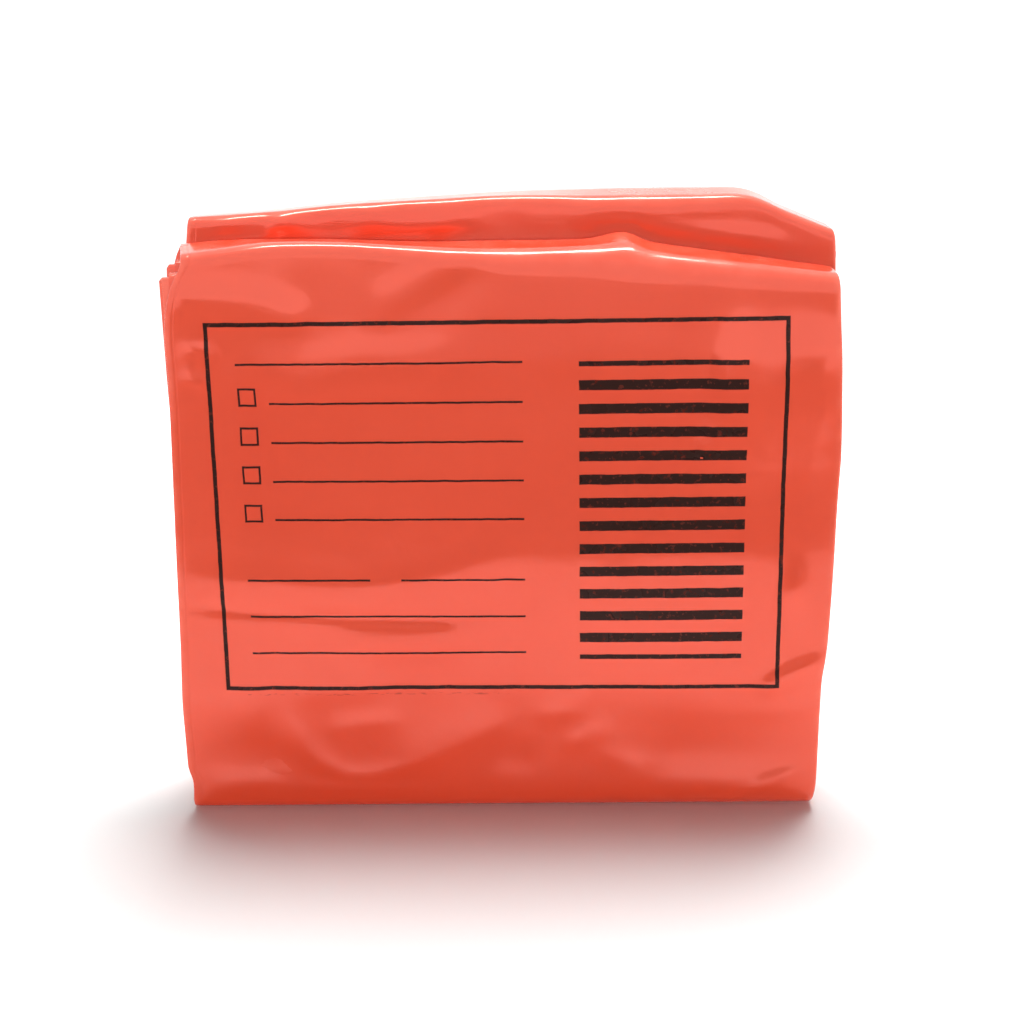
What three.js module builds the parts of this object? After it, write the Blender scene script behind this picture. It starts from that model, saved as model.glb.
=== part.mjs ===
import * as THREE from 'three'

// A thin film blanket, folded lengthwise into a strip and the strip folded back and forth into a pack that stands
// upright on its lower folds. The whole strip is one solid: a back-and-forth section of its layers, a little apart.
// Millimetres. +X runs along the pack's width, +Y from its front face to its back, +Z up from the surface that it
// stands on. The origin lies on that surface, under the middle of the pack.

// Driving sizes
const LAYER = 1.7 // one layer: the plies of the strip, pressed together
const GAP = 0.75 // air between two layers
const VALLEY = 0.5 // extra air between the front and the back group of layers
const LAYERS = 12
const FRONT_LAYERS = 6
const HALF_WIDTH = 87
const FACE_SWELL = 1.5 // how far the front panel stands proud of its flat
const BACK_SWELL = 1.1
const BOW = 0.8 // how far the whole pack bows forward in the middle of its width
const SWAY = 0.5 // how far its layers wander together, forward and back

// How finely the solid is divided
const STATIONS = 23 // sections along the width
const FACE_ROWS = 9 // rows of points down the front panel, between its folds
const BACK_ROWS = 5
const INNER_ROWS = 2
const FOLD_STEPS = 3
const CORNER_STEPS = 4

const FILM_COLOUR = 0xe4553b
const PITCH = LAYER + GAP
const FACE = 0
const BACK = LAYERS - 1
const CORNER_SHARE = 0.25 // how far a corner takes a point from one layer's side edges to the next layer's
const MIDDLE = { x: 0.8, y: -0.9 } // the middle of the finished pack, measured in the tables' own places

// Heights along the top of the pack, over the outer surface. crease is the front edge of the front group's top and
// shoulder its back edge; backCrease and backTop are the same two edges of the back group. faceReach is how far
// down the face the front crease begins to turn.
const TOPS = [
  { x: -87, crease: 148.9, shoulder: 151.9, backCrease: 157.9, backTop: 158.6, faceReach: 2.0 },
  { x: -76, crease: 150.3, shoulder: 152.6, backCrease: 158.4, backTop: 159.1, faceReach: 2.0 },
  { x: -64, crease: 151.8, shoulder: 152.5, backCrease: 159.0, backTop: 159.9, faceReach: 2.0 },
  { x: -45, crease: 151.7, shoulder: 152.2, backCrease: 160.4, backTop: 161.4, faceReach: 2.0 },
  { x: -22, crease: 150.2, shoulder: 151.5, backCrease: 161.3, backTop: 162.6, faceReach: 2.6 },
  { x: 0, crease: 149.0, shoulder: 151.7, backCrease: 162.0, backTop: 163.6, faceReach: 4.0 },
  { x: 22, crease: 149.2, shoulder: 151.8, backCrease: 161.4, backTop: 164.1, faceReach: 5.4 },
  { x: 32, crease: 148.1, shoulder: 153.6, backCrease: 161.4, backTop: 164.2, faceReach: 5.4 },
  { x: 39, crease: 147.1, shoulder: 151.1, backCrease: 161.3, backTop: 164.2, faceReach: 5.0 },
  { x: 52, crease: 145.9, shoulder: 149.1, backCrease: 161.2, backTop: 164.1, faceReach: 4.6 },
  { x: 65, crease: 144.7, shoulder: 147.3, backCrease: 160.8, backTop: 163.5, faceReach: 4.2 },
  { x: 75, crease: 143.5, shoulder: 145.7, backCrease: 156.9, backTop: 159.2, faceReach: 3.8 },
  { x: 87, crease: 142.1, shoulder: 143.9, backCrease: 152.2, backTop: 154.2, faceReach: 3.4 },
]

// How far the turn at the front lower edge reaches, along the floor and up the face
const LOWER_TURN = [
  { x: -87, reach: 2.0 },
  { x: -50, reach: 2.6 },
  { x: 10, reach: 4.0 },
  { x: 87, reach: 6.0 },
]

// The pack's side edges by height: face for the front panel, front for the layers behind it in the front group and
// rear for the back group
const LEFT_EDGE = [
  { z: 0, face: -84.8, front: -84.2, rear: -83.6 },
  { z: 8, face: -84.4, front: -84.6, rear: -84.0 },
  { z: 13, face: -85.6, front: -84.9, rear: -84.4 },
  { z: 50, face: -84.8, front: -84.4, rear: -84.0 },
  { z: 90, face: -83.6, front: -84.0, rear: -83.6 },
  { z: 117, face: -82.8, front: -84.4, rear: -83.4 },
  { z: 131, face: -82.9, front: -85.0, rear: -82.8 },
  { z: 141, face: -80.6, front: -84.9, rear: -82.2 },
  { z: 149, face: -76.8, front: -82.6, rear: -80.6 },
  { z: 159, face: -76.5, front: -78.6, rear: -79.4 },
]
const RIGHT_EDGE = [
  { z: 0, face: 83.4, front: 83.6, rear: 83.2 },
  { z: 10, face: 84.0, front: 84.2, rear: 83.8 },
  { z: 36, face: 84.4, front: 84.8, rear: 84.0 },
  { z: 48, face: 85.7, front: 85.2, rear: 84.4 },
  { z: 86, face: 86.6, front: 85.8, rear: 85.2 },
  { z: 99, face: 87.0, front: 86.0, rear: 85.4 },
  { z: 130, face: 85.6, front: 86.0, rear: 86.6 },
  { z: 141, face: 85.0, front: 85.2, rear: 87.0 },
  { z: 159, face: 84.6, front: 83.8, rear: 85.8 },
]

// The strip's layers in the order in which it passes through them, from one cut end to the other. Odd rows rise
// and even rows fall. low is the height of the fold or cut end at the bottom, under the depth of the fold at the
// top below the group's outer layer; left and right shift the layer's side edges outward.
const ROUTE = [
  { layer: 1, low: 24.0, under: 5.6, left: -0.9, right: -0.6 },
  { layer: 2, low: 4.0, under: 5.6, left: 0.4, right: 0.2 },
  { layer: 3, low: 4.0, under: 3.6, left: -0.5, right: 0.6 },
  { layer: 4, low: 5.4, under: 3.6, left: 0.3, right: -0.8 },
  { layer: 5, low: 5.4, under: 0, left: -0.2, right: -0.2 },
  { layer: FACE, low: 0, under: 0, left: 0, right: 0 },
  { layer: BACK, low: 0, under: 0, left: -0.3, right: -0.7 },
  { layer: 6, low: 4.8, under: 0, left: 0, right: 0 },
  { layer: 7, low: 4.8, under: 4.4, left: -1.2, right: 0.5 },
  { layer: 8, low: 3.8, under: 4.4, left: 0.5, right: -1.1 },
  { layer: 9, low: 3.8, under: 6.2, left: -0.4, right: 0.3 },
  { layer: 10, low: 33.0, under: 6.2, left: 0.2, right: -0.5 },
]

// Soft troughs pressed into the front panel's swell, and ridges where depth is negative. lean turns the long
// axis from level, in degrees.
const FACE_DENTS = [
  { name: 'left fan', x: -66, z: 136, long: 20, short: 5, lean: -22, depth: -0.5 },
  { name: 'upper hollow', x: -4, z: 139, long: 26, short: 7, lean: 14, depth: 0.9 },
  { name: 'right fan', x: 72, z: 133, long: 18, short: 7, lean: 8, depth: 0.7 },
  { name: 'level crease', x: -45, z: 53, long: 40, short: 6, lean: -3, depth: 0.7 },
  { name: 'low left hollow', x: -64, z: 22, long: 20, short: 8, lean: 6, depth: 1.1 },
  { name: 'low middle fold', x: -24, z: 19, long: 26, short: 5, lean: 24, depth: -0.4 },
  { name: 'low right hollow', x: 62, z: 24, long: 22, short: 9, lean: 4, depth: 1.0 },
  { name: 'right side pull', x: 78, z: 60, long: 20, short: 5, lean: 62, depth: 0.6 },
]

// Smooth value from a table, by the column that it is sorted on
function look(table, key, column, at) {
  const last = table.length - 1
  if (at <= table[0][key]) return table[0][column]
  if (at >= table[last][key]) return table[last][column]
  let row = 0
  while (table[row + 1][key] < at) row += 1
  const slope = (i, j) => (table[j][column] - table[i][column]) / (table[j][key] - table[i][key])
  const before = slope(Math.max(row - 1, 0), Math.min(row + 1, last))
  const after = slope(row, Math.min(row + 2, last))
  const span = table[row + 1][key] - table[row][key]
  const t = (at - table[row][key]) / span
  const rise = table[row + 1][column] - table[row][column]
  const ease = t * t * (3 - 2 * t)
  const start = t * (1 - t) * (1 - t) * before * span
  const end = t * t * (1 - t) * after * span
  return table[row][column] + rise * ease + start - end
}

function layerY(layer) {
  const depth = (LAYERS - 1) * PITCH + VALLEY
  const valley = layer < FRONT_LAYERS ? 0 : VALLEY
  return layer * PITCH + valley - depth / 2
}

function sideEdge(table, side, layer, z) {
  const row = ROUTE.find((entry) => entry.layer === layer)
  const group = layer < FRONT_LAYERS ? 'front' : 'rear'
  const base = look(table, 'z', layer === FACE ? 'face' : group, z)
  return base + (side === 'left' ? -row.left : row.right)
}

function faceSwell(x, z) {
  const across = 1 - (x / HALF_WIDTH) ** 4
  const up = 1 - Math.abs((z - 74) / 78) ** 4
  let swell = FACE_SWELL * Math.max(across, 0) * Math.max(up, 0)
  for (const dent of FACE_DENTS) {
    const lean = THREE.MathUtils.degToRad(dent.lean)
    const along = (x - dent.x) * Math.cos(lean) + (z - dent.z) * Math.sin(lean)
    const over = (z - dent.z) * Math.cos(lean) - (x - dent.x) * Math.sin(lean)
    swell -= dent.depth * Math.exp(-((along / dent.long) ** 2) - (over / dent.short) ** 2)
  }
  return Math.max(swell, 0)
}

function backSwell(x, z) {
  const across = 1 - (x / HALF_WIDTH) ** 4
  const up = 1 - Math.abs((z - 76) / 80) ** 4
  const roll = 0.75 + 0.25 * Math.sin(x / 27 + z / 34)
  return BACK_SWELL * roll * Math.max(across, 0) * Math.max(up, 0)
}

// How far the whole stack of layers lies forward or back of true at one place
function wander(x, z) {
  const bow = -BOW * (1 - (x / HALF_WIDTH) ** 2) * Math.min(z / 60, 1)
  return bow + SWAY * Math.sin(z / 26 + 0.6) * Math.cos(x / 55 + 0.4)
}

// A point of the strip's middle line: its place, the way its outer side faces, and the two layers that it lies
// between, with its share of the second one
function linePoint(y, z, outY, outZ, from, to, share) {
  return { y, z, outY, outZ, from, to, share }
}

// A rounded corner from one straight to the next, with the strip's outer side on the right of the way it takes
function roundCorner(before, corner, after, from, to, shares) {
  const points = []
  for (let step = 0; step <= CORNER_STEPS; step += 1) {
    const t = step / CORNER_STEPS
    const s = 1 - t
    const y = s * s * before.y + 2 * s * t * corner.y + t * t * after.y
    const z = s * s * before.z + 2 * s * t * corner.z + t * t * after.z
    const wayY = s * (corner.y - before.y) + t * (after.y - corner.y)
    const wayZ = s * (corner.z - before.z) + t * (after.z - corner.z)
    const length = Math.hypot(wayY, wayZ)
    const share = THREE.MathUtils.lerp(shares[0], shares[1], t)
    points.push(linePoint(y, z, wayZ / length, -wayY / length, from, to, share))
  }
  return points
}

// The outer surface of a group's top, as a line from its front to its back edge
function groupTop(x, layer) {
  const front = layer < FRONT_LAYERS
  const low = look(TOPS, 'x', front ? 'crease' : 'backCrease', x)
  const high = look(TOPS, 'x', front ? 'shoulder' : 'backTop', x)
  const first = layerY(front ? FACE : FRONT_LAYERS)
  const last = layerY(front ? FRONT_LAYERS - 1 : BACK)
  return (y) => THREE.MathUtils.lerp(low, high, (y - first) / (last - first))
}

// A group's top: the strip goes over it from the layer behind to the one in front. reachFront and reachBack say
// how far its two corners turn.
function overTheTop(x, front, back, reachFront, reachBack) {
  const top = groupTop(x, front)
  const yFront = layerY(front)
  const yBack = layerY(back)
  const zFront = top(yFront) - LAYER / 2
  const zBack = top(yBack) - LAYER / 2
  const run = Math.hypot(yBack - yFront, zBack - zFront)
  const alongY = (yFront - yBack) / run
  const alongZ = (zFront - zBack) / run
  const backCorner = roundCorner(
    { y: yBack, z: zBack - reachBack },
    { y: yBack, z: zBack },
    { y: yBack + alongY * reachBack, z: zBack + alongZ * reachBack },
    back,
    front,
    [0, CORNER_SHARE],
  )
  const frontCorner = roundCorner(
    { y: yFront - alongY * reachFront, z: zFront - alongZ * reachFront },
    { y: yFront, z: zFront },
    { y: yFront, z: zFront - reachFront },
    back,
    front,
    [1 - CORNER_SHARE, 1],
  )
  return [...backCorner, ...frontCorner]
}

function underTheBottom(x) {
  const z = LAYER / 2
  const yFront = layerY(FACE)
  const yBack = layerY(BACK)
  const frontReach = look(LOWER_TURN, 'x', 'reach', x)
  const backReach = 3.2
  const frontCorner = roundCorner(
    { y: yFront, z: z + frontReach },
    { y: yFront, z },
    { y: yFront + frontReach, z },
    FACE,
    BACK,
    [0, CORNER_SHARE],
  )
  const backCorner = roundCorner(
    { y: yBack - backReach, z },
    { y: yBack, z },
    { y: yBack, z: z + backReach },
    FACE,
    BACK,
    [1 - CORNER_SHARE, 1],
  )
  return [...frontCorner, linePoint(0, z, 0, -1, FACE, BACK, 0.5), ...backCorner]
}

// The half turn between two neighbouring layers, with its far point at the height extreme. up is 1 at the top of
// the pack and -1 at its bottom.
function halfTurn(from, to, extreme, up) {
  const yFrom = layerY(from)
  const yTo = layerY(to)
  const middle = (yFrom + yTo) / 2
  const radius = Math.abs(yTo - yFrom) / 2
  const centre = extreme - up * (LAYER / 2 + radius)
  const side = Math.sign(yTo - yFrom)
  const points = []
  for (let step = 0; step <= FOLD_STEPS; step += 1) {
    const angle = (Math.PI * step) / FOLD_STEPS
    const awayY = -side * Math.cos(angle)
    const awayZ = up * Math.sin(angle)
    const outer = side * up
    points.push(
      linePoint(
        middle + radius * awayY,
        centre + radius * awayZ,
        -outer * awayY,
        -outer * awayZ,
        from,
        to,
        step / FOLD_STEPS,
      ),
    )
  }
  return points
}

function straight(start, end, rows) {
  const points = []
  for (let row = 1; row <= rows; row += 1) {
    const z = THREE.MathUtils.lerp(start.z, end.z, row / (rows + 1))
    points.push({ ...end, z, share: end.from === end.to ? 0 : end.share })
  }
  return points
}

// The turn that follows a row of the route, at the top after a rising row and at the bottom after a falling one
function turnAfter(index, x) {
  const row = ROUTE[index]
  const next = ROUTE[index + 1]
  if (row.layer === FRONT_LAYERS - 1) {
    return overTheTop(x, FACE, row.layer, look(TOPS, 'x', 'faceReach', x), 2.4)
  }
  if (row.layer === FACE) return underTheBottom(x)
  if (row.layer === BACK) return overTheTop(x, FRONT_LAYERS, BACK, 2.2, 3.4)
  const rising = index % 2 === 0
  if (!rising) return halfTurn(row.layer, next.layer, row.low, -1)
  const middle = (layerY(row.layer) + layerY(next.layer)) / 2
  return halfTurn(row.layer, next.layer, groupTop(x, row.layer)(middle) - row.under, 1)
}

const rowsOf = (layer) => {
  if (layer === FACE) return FACE_ROWS
  return layer === BACK ? BACK_ROWS : INNER_ROWS
}

// The strip's middle line in the section at one place along the width
function sectionAt(x) {
  const first = ROUTE[0]
  const last = ROUTE[ROUTE.length - 1]
  const end = (row, outY) => linePoint(layerY(row.layer), row.low, outY, 0, row.layer, row.layer, 0)
  let points = [end(first, 1)]
  ROUTE.forEach((row, index) => {
    const turn = row === last ? [end(last, -1)] : turnAfter(index, x)
    const start = points[points.length - 1]
    points = [...points, ...straight(start, turn[0], rowsOf(row.layer)), ...turn]
  })
  return points
}

// How much a point belongs to one layer: 1 along its straight, falling to 0 through the corner at its end
function belongs(point, layer) {
  const here = (point.from === layer ? 1 - point.share : 0) + (point.to === layer ? point.share : 0)
  return Math.max(1 - (1 - here) / CORNER_SHARE, 0)
}

// Where a point of the middle line really lies, at a share u of the width
function place(point, u, x) {
  const edge = (table, side) =>
    THREE.MathUtils.lerp(
      sideEdge(table, side, point.from, point.z),
      sideEdge(table, side, point.to, point.z),
      point.share,
    )
  const left = edge(LEFT_EDGE, 'left')
  const right = edge(RIGHT_EDGE, 'right')
  let y = point.y + wander(x, point.z)
  y -= faceSwell(x, point.z) * belongs(point, FACE)
  y += backSwell(x, point.z) * belongs(point, BACK)
  return new THREE.Vector3(THREE.MathUtils.lerp(left, right, u) - MIDDLE.x, y - MIDDLE.y, point.z)
}

// The closed skin of the strip: its outer side, its inner side, and the four narrow edges that join them
function stripGeometry() {
  const positions = []
  const rows = sectionAt(0).length
  for (const side of [1, -1]) {
    for (let station = 0; station < STATIONS; station += 1) {
      const u = station / (STATIONS - 1)
      const x = THREE.MathUtils.lerp(-HALF_WIDTH, HALF_WIDTH, u)
      for (const point of sectionAt(x)) {
        const spot = place(point, u, x)
        const out = (side * LAYER) / 2
        positions.push(spot.x, spot.y + out * point.outY, spot.z + out * point.outZ)
      }
    }
  }
  const sheet = STATIONS * rows
  const at = (side, station, row) => side * sheet + station * rows + row
  const triangles = []
  const quad = (a, b, c, d) => triangles.push(a, b, c, a, c, d)
  const lastStation = STATIONS - 1
  const lastRow = rows - 1
  for (let station = 0; station < lastStation; station += 1) {
    for (let row = 0; row < lastRow; row += 1) {
      quad(at(0, station, row), at(0, station, row + 1), at(0, station + 1, row + 1), at(0, station + 1, row))
      quad(at(1, station, row), at(1, station + 1, row), at(1, station + 1, row + 1), at(1, station, row + 1))
    }
    quad(at(0, station, 0), at(0, station + 1, 0), at(1, station + 1, 0), at(1, station, 0))
    quad(at(0, station, lastRow), at(1, station, lastRow), at(1, station + 1, lastRow), at(0, station + 1, lastRow))
  }
  for (let row = 0; row < lastRow; row += 1) {
    quad(at(0, 0, row), at(1, 0, row), at(1, 0, row + 1), at(0, 0, row + 1))
    quad(
      at(0, lastStation, row),
      at(0, lastStation, row + 1),
      at(1, lastStation, row + 1),
      at(1, lastStation, row),
    )
  }
  const geometry = new THREE.BufferGeometry()
  geometry.setAttribute('position', new THREE.Float32BufferAttribute(positions, 3))
  geometry.setIndex(triangles)
  geometry.computeVertexNormals()
  return geometry
}

const film = new THREE.MeshStandardMaterial({ color: FILM_COLOUR, roughness: 0.45, metalness: 0 })
const blanket = new THREE.Mesh(stripGeometry(), film)
blanket.name = 'folded_blanket'

const part = new THREE.Group()
part.add(blanket)

export default part
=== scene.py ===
# Looks of the folded film blanket: one thin film, folded lengthwise into a strip of four plies, and the
# strip folded back and forth into a pack that stands on its lower folds. Sizes are millimetres until the
# mesh is made.
import math

import bpy
import numpy as np
from mathutils import Matrix, Vector


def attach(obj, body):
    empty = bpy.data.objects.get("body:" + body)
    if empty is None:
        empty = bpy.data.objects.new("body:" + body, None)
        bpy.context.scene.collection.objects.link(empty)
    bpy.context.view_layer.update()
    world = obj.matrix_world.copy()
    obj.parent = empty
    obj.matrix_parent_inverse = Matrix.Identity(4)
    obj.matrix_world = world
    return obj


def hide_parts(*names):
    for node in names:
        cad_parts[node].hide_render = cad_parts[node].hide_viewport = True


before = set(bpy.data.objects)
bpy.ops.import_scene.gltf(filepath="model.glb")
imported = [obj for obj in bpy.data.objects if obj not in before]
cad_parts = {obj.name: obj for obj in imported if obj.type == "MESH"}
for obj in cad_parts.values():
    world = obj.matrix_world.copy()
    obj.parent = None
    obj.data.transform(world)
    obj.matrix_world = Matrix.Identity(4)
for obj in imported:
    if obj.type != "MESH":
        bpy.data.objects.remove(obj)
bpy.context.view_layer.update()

MM = 0.001
SEED = 7

# Driving sizes of the pack, as in the solid that it replaces
LAYER = 1.7  # one layer: the plies of the strip, pressed together
GAP = 0.75  # air between two layers
VALLEY = 0.5  # extra air between the front and the back group of layers
LAYERS = 12
FRONT_LAYERS = 6
HALF_WIDTH = 87
PITCH = LAYER + GAP
FACE = 0
BACK = LAYERS - 1
MIDDLE_X = 0.8  # the middle of the finished pack, measured in the tables' own places
MIDDLE_Y = -0.9

# How the layers lie and swell
BOW = 0.8  # how far the whole pack bows forward in the middle of its width
BOW_FROM = 60  # the height from which it bows in full
SWAY = 0.5  # how far its layers wander together, forward and back
EDGE_ROLL = 0.3  # share of the front panel's rolls that is left at its side edges
SOFT_FLOOR = 4  # how sharply the front panel's relief ends at its flat
BACK_SWELL = 1.1  # how far the back panel swells at most, apart from its folds
BACK_MIDDLE = 76  # the height of its middle
BACK_REACH = 80  # how far up and down from there it swells
VALLEY_SWELL = 0.15
VALLEY_CLEAR = 1  # how far above the front group the back group's face starts to swell
VALLEY_RISE = 2.5  # and the height over which it comes to its full swell

# Corners of the strip, where it goes over a group's top or under the pack
CORNER_SHARE = 0.25  # how far a corner takes a point from one layer's side edges to the next layer's
FRONT_TOP_REAR = 2.4  # how far each corner reaches, where no table gives it
BACK_TOP_FRONT = 2.2
BACK_TOP_REAR = 3.4
UNDER_REAR = 3.2

# The film and its four plies, by their distance outward from the layer's middle line
FILM = 0.18
OUTER_PLY = 0.7
SECOND_PLY = 0.233
THIRD_PLY = -0.233
INNER_PLY = -0.7
PRINT_FROM = SECOND_PLY + 0.3  # only the film beyond this distance carries print
SIGHT_FROM = SECOND_PLY + 0.02  # only the film beyond this distance is in sight

# How far the film's free edges and side folds lie inside the layer's side edges
LEFT_FREE = 2.2
LEFT_FOLD = 0.32
RIGHT_FOLD = 1.9
RIGHT_WRAP = 0.8
WORN_REACH = 1.1  # how far from a side edge the film is worn

# How finely the film is divided
FACE_ROWS = 122
BACK_ROWS = 56
TOP_BAND = 0.11  # share of a valley layer's height that shows above the front group
TOP_BAND_ROWS = 11  # rows in that part
VALLEY_ROWS = 6
INNER_ROWS = 5
FOLD_STEPS = 5
CORNER_STEPS = 8
TOP_ROWS = 5
UNDER_ROWS = 6
OUTER_COLUMNS = 98
CLOSER = 0.3  # how much closer those columns lie at the side edges
PLY_COLUMNS = 5
SIDE_FOLD_STEPS = 3
WRAP_STEPS = 7
LINE_STEPS = 5  # steps between two places of a fold's line
SHARP_ANGLE = 62

# Small unevenness of each kind: how much, its seed and the length of its waves. A layer or a turn adds its
# own number to the seed.
UNEVEN = {
    "face": ((0.09, 1, 34), (0.03, 2, 13)),
    "back": ((0.22, 3, 40), (0.07, 4, 15)),
    "valley": ((0.12, 5, 11),),
    "cut end": ((0.6, 20, 45),),
    "outer left": ((0.12, 40, 38),),
    "outer right": ((0.12, 60, 38),),
    "inner left": ((0.5, 40, 38),),
    "inner right": ((0.5, 60, 38),),
    "turn": ((0.4, 80, 60),),
    "layer": ((0.14, 100, 55),),
}

# The map for baking. The room that each panel gets there goes by how much of it is in sight.
MAP_OUTER = (0.005, 0.86)
MAP_INNER = (0.88, 0.955)
MAP_ALONG = (0.005, 0.955)
MAP_RIM = 0.965
MAP_RIM_STEP = 0.015
MAP_RIM_WIDTH = 0.007
SIGHT_LEAST = 0.3
SIGHT = {FACE: 6, BACK: 2.5, FRONT_LAYERS: 2}
SIGHT_HIDDEN = 0.15  # share of it for the plies that lie inside a layer


def table(names, *rows):
    """A table with named columns."""
    return dict(zip(names.split(), np.array(rows, float).T))


def fold_table(names, *rows):
    """Folds with named columns, a row for each."""
    return [dict(zip(names.split(), row)) for row in rows]


# Heights along the top of the pack, over the outer surface. crease is the front edge of the front group's
# top and shoulder its back edge; back_crease and back_top are the same two edges of the back group.
# face_reach is how far down the face the front crease begins to turn.
TOPS = table(
    "x crease shoulder back_crease back_top face_reach",
    (-87, 148.9, 151.9, 157.9, 158.6, 2.0),
    (-76, 150.3, 152.6, 158.4, 159.1, 2.0),
    (-64, 151.8, 152.5, 159.0, 159.9, 2.0),
    (-45, 151.7, 152.2, 160.4, 161.4, 2.0),
    (-22, 150.2, 151.5, 161.3, 162.6, 2.6),
    (0, 149.0, 151.7, 162.0, 163.6, 4.0),
    (22, 149.2, 151.8, 161.4, 164.1, 5.4),
    (32, 148.1, 153.6, 161.4, 164.2, 5.4),
    (39, 147.1, 151.1, 161.3, 164.2, 5.0),
    (52, 145.9, 149.1, 161.2, 164.1, 4.6),
    (65, 144.7, 147.3, 160.8, 163.5, 4.2),
    (75, 143.5, 145.7, 156.9, 159.2, 3.8),
    (87, 142.1, 143.9, 152.2, 154.2, 3.4),
)

# How far the turn at the front lower edge reaches, along the floor and up the face
LOWER_TURN = table(
    "x reach",
    (-87, 2.0),
    (-50, 2.6),
    (10, 4.0),
    (87, 6.0),
)

# The pack's side edges by height: face for the front panel, front for the layers behind it in the front
# group and rear for the back group
LEFT_EDGE = table(
    "z face front rear",
    (0, -84.8, -84.2, -83.6),
    (8, -84.4, -84.6, -84.0),
    (13, -85.6, -84.9, -84.4),
    (50, -84.8, -84.4, -84.0),
    (90, -83.6, -84.0, -83.6),
    (117, -82.8, -84.4, -83.4),
    (131, -82.9, -85.0, -82.8),
    (141, -80.6, -84.9, -82.2),
    (149, -76.8, -82.6, -80.6),
    (159, -76.5, -78.6, -79.4),
)
RIGHT_EDGE = table(
    "z face front rear",
    (0, 83.4, 83.6, 83.2),
    (10, 84.0, 84.2, 83.8),
    (36, 84.4, 84.8, 84.0),
    (48, 85.7, 85.2, 84.4),
    (86, 86.6, 85.8, 85.2),
    (99, 87.0, 86.0, 85.4),
    (130, 85.6, 86.0, 86.6),
    (141, 85.0, 85.2, 87.0),
    (159, 84.6, 83.8, 85.8),
)

# The strip's layers in the order in which it passes through them, from one cut end to the other. Counted
# from 0, even entries rise and odd entries fall. low is the height of the fold or cut end at the bottom,
# under the depth of the fold at the top below the group's outer layer; left and right shift the layer's
# side edges outward.
ROUTE = (
    {"layer": 1, "low": 24.0, "under": 5.6, "left": -0.9, "right": -0.6},
    {"layer": 2, "low": 4.0, "under": 5.6, "left": 0.4, "right": 0.2},
    {"layer": 3, "low": 4.0, "under": 3.6, "left": -0.5, "right": 0.6},
    {"layer": 4, "low": 5.4, "under": 3.6, "left": 0.3, "right": -0.8},
    {"layer": 5, "low": 5.4, "under": 0, "left": -0.2, "right": -0.2},
    {"layer": FACE, "low": 0, "under": 0, "left": 0, "right": 0},
    {"layer": BACK, "low": 0, "under": 0, "left": -0.3, "right": -0.7},
    {"layer": 6, "low": 4.8, "under": 0, "left": 0, "right": 0},
    {"layer": 7, "low": 4.8, "under": 4.4, "left": -1.2, "right": 0.5},
    {"layer": 8, "low": 3.8, "under": 4.4, "left": 0.5, "right": -1.1},
    {"layer": 9, "low": 3.8, "under": 6.2, "left": -0.4, "right": 0.3},
    {"layer": 10, "low": 33.0, "under": 6.2, "left": 0.2, "right": -0.5},
)

# The four places along the width at which the front panel's broad rolls are given
ROLL_PLACES = (-68, -42, 2, 60)

# How far the front panel stands forward of its flat there, by height: broad rolls with the belly across
# the lower half, a hollow under it and a roll along the lower right edge
FACE_ROLLS = table(
    "z left fold middle right",
    (0, 0.5, 0.5, 0.5, 0.7),
    (4, 0.85, 0.85, 0.85, 1.35),
    (8, 0.95, 1.0, 1.0, 1.75),
    (13, 0.75, 1.25, 1.2, 1.15),
    (18, 1.2, 1.5, 1.45, 0.8),
    (24, 2.2, 1.8, 1.75, 1.3),
    (30, 2.95, 2.15, 2.1, 2.2),
    (36, 3.05, 2.45, 2.4, 2.6),
    (50, 3.0, 2.65, 2.6, 2.7),
    (62, 2.95, 2.8, 2.75, 2.75),
    (67, 2.85, 2.75, 2.8, 2.77),
    (73, 2.6, 2.55, 2.78, 2.75),
    (82, 2.15, 2.15, 2.35, 2.35),
    (95, 1.65, 1.7, 1.8, 1.8),
    (110, 1.4, 1.4, 1.4, 1.4),
    (121, 1.5, 1.5, 1.4, 1.4),
    (130, 1.25, 1.25, 1.25, 1.2),
    (140, 1.05, 1.05, 1.15, 1.0),
    (150, 0.7, 0.8, 0.9, 0.6),
    (160, 0.2, 0.25, 0.3, 0.1),
)

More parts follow.
